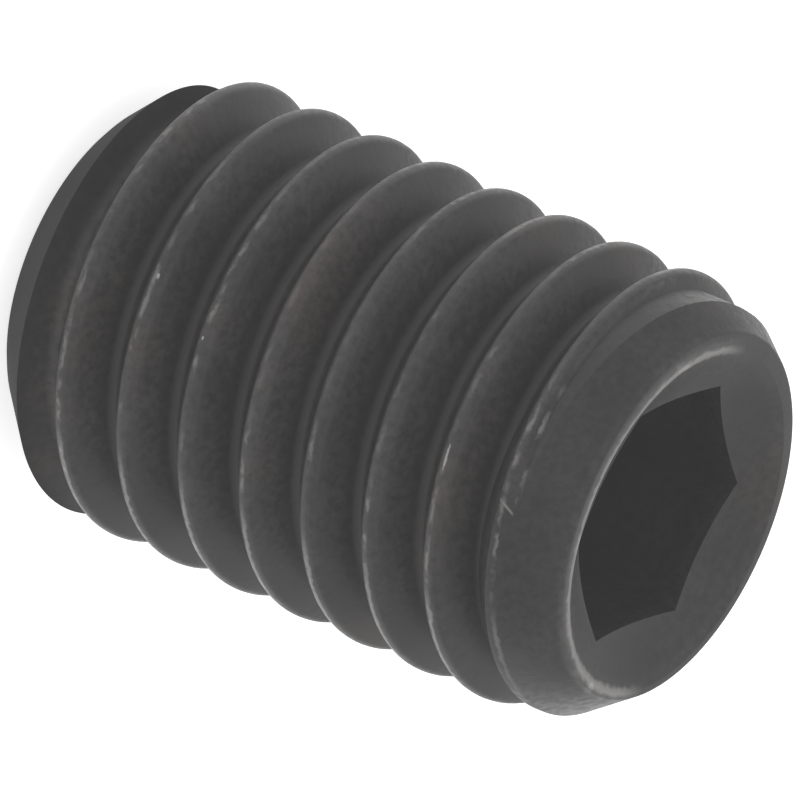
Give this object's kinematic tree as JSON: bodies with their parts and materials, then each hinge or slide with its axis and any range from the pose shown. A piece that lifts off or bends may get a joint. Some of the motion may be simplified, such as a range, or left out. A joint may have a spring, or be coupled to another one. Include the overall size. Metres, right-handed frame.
{
  "type": "grub screw",
  "caption": "Headless set screw with a coarse right-hand thread, a countersunk hexagon socket, chamfered ends and a flat point, in black oxide steel.",
  "frame": {"origin": "centre of the flat point's face, on the screw's axis", "axes": "+Z along the axis from the flat point to the hexagon socket, +X through a corner of the hexagon"},
  "size_m": [0.0078, 0.0078, 0.0117],
  "materials": {
    "black_oxide_steel": "black oxide, satin, slightly mottled"
  },
  "bodies": {
    "root": {"set_screw": "black_oxide_steel"}
  },
  "joints": []
}
